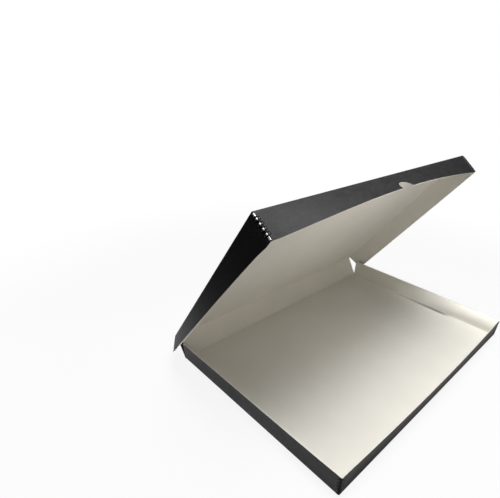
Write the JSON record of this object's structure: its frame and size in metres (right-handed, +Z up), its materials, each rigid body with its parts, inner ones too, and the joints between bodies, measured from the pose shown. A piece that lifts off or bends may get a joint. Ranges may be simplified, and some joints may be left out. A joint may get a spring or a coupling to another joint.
{
  "type": "archive box",
  "caption": "Shallow folding archive box of board with a hinged lid on a fold-down spine, a thumb notch and metal corner stays.",
  "frame": {"origin": "middle of the closed box's outline on the underside of the tray", "axes": "+X along the hinge towards the box's right, +Y from the front towards the hinge, +Z up"},
  "size_m": [0.5289, 0.3655, 0.3108],
  "materials": {
    "lined_board": "matte",
    "stay_metal": "satin"
  },
  "bodies": {
    "tray": {"tray": "lined_board", "tray_stay_left": "stay_metal", "tray_stay_right": "stay_metal"},
    "spine": {"spine": "lined_board"},
    "lid": {"lid": "lined_board", "lid_stay_left": "stay_metal", "lid_stay_right": "stay_metal"}
  },
  "joints": [
    {"name": "spine_fold", "type": "hinge", "parent": "tray", "child": "spine", "pos_m": [0, 0.17075, 0.00075], "axis": [-1, 0, 0], "range_deg": [-31, 59]},
    {"name": "lid_fold", "type": "hinge", "parent": "spine", "child": "lid", "pos_m": [0, 0.1929, 0.03761], "axis": [-1, 0, 0], "range_deg": [-22, 68]}
  ]
}
